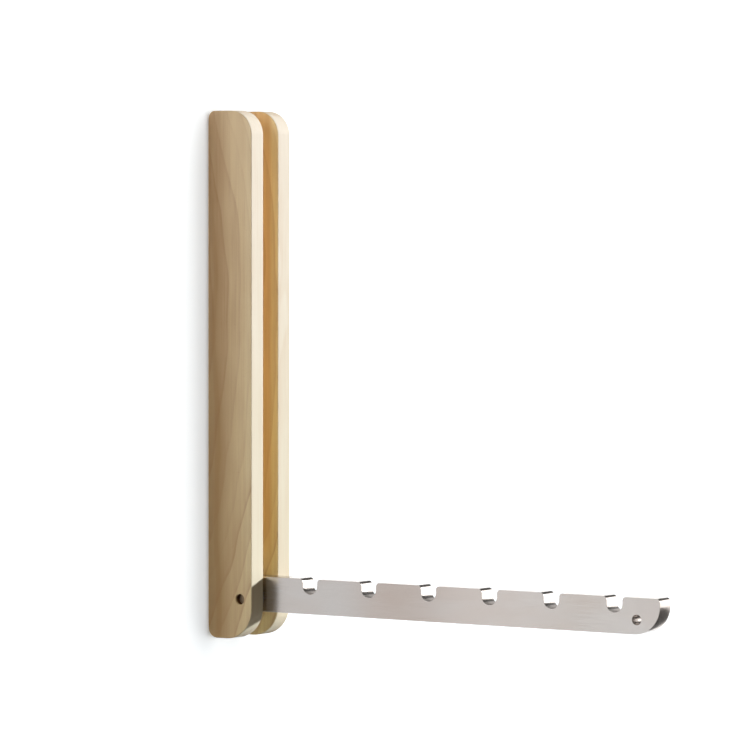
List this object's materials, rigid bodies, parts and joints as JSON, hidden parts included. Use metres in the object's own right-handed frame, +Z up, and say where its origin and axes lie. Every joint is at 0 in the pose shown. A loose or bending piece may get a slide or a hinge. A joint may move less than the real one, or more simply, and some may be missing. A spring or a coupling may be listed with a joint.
{
  "type": "wall hook",
  "caption": "Slotted wooden block for a wall with a notched steel arm for coat hangers that swings out level and folds up flush into the slot.",
  "frame": {"origin": "on the wall plane, midway between the two wall screws and in the middle of the slot's width", "axes": "+Z up along the block, +Y into the wall, +X to the right seen from the room; the arm stands out along -Y"},
  "size_m": [0.038, 0.2895, 0.3],
  "materials": {
    "maple": "clear matt oil on straight-grained maple",
    "brushed_steel": "brushed along the bar",
    "pin_steel": "plain turned",
    "plate_steel": "zinc plated",
    "bronze": "oiled sintered bronze",
    "nylon": "natural nylon",
    "pad_rubber": "matt"
  },
  "bodies": {
    "block": {"wood_block": "maple", "pivot_pin": "pin_steel", "washer_left": "nylon", "washer_right": "nylon", "stop_plate": "plate_steel", "stop_screws": "plate_steel", "rest_pad": "pad_rubber"},
    "arm": {"swing_arm": "brushed_steel", "pivot_bush": "bronze"}
  },
  "joints": [
    {"name": "arm_fold", "type": "hinge", "parent": "block", "child": "arm", "pos_m": [0, -0.022, -0.1272], "axis": [-1, 0, 0], "range_deg": [0, 90]}
  ]
}
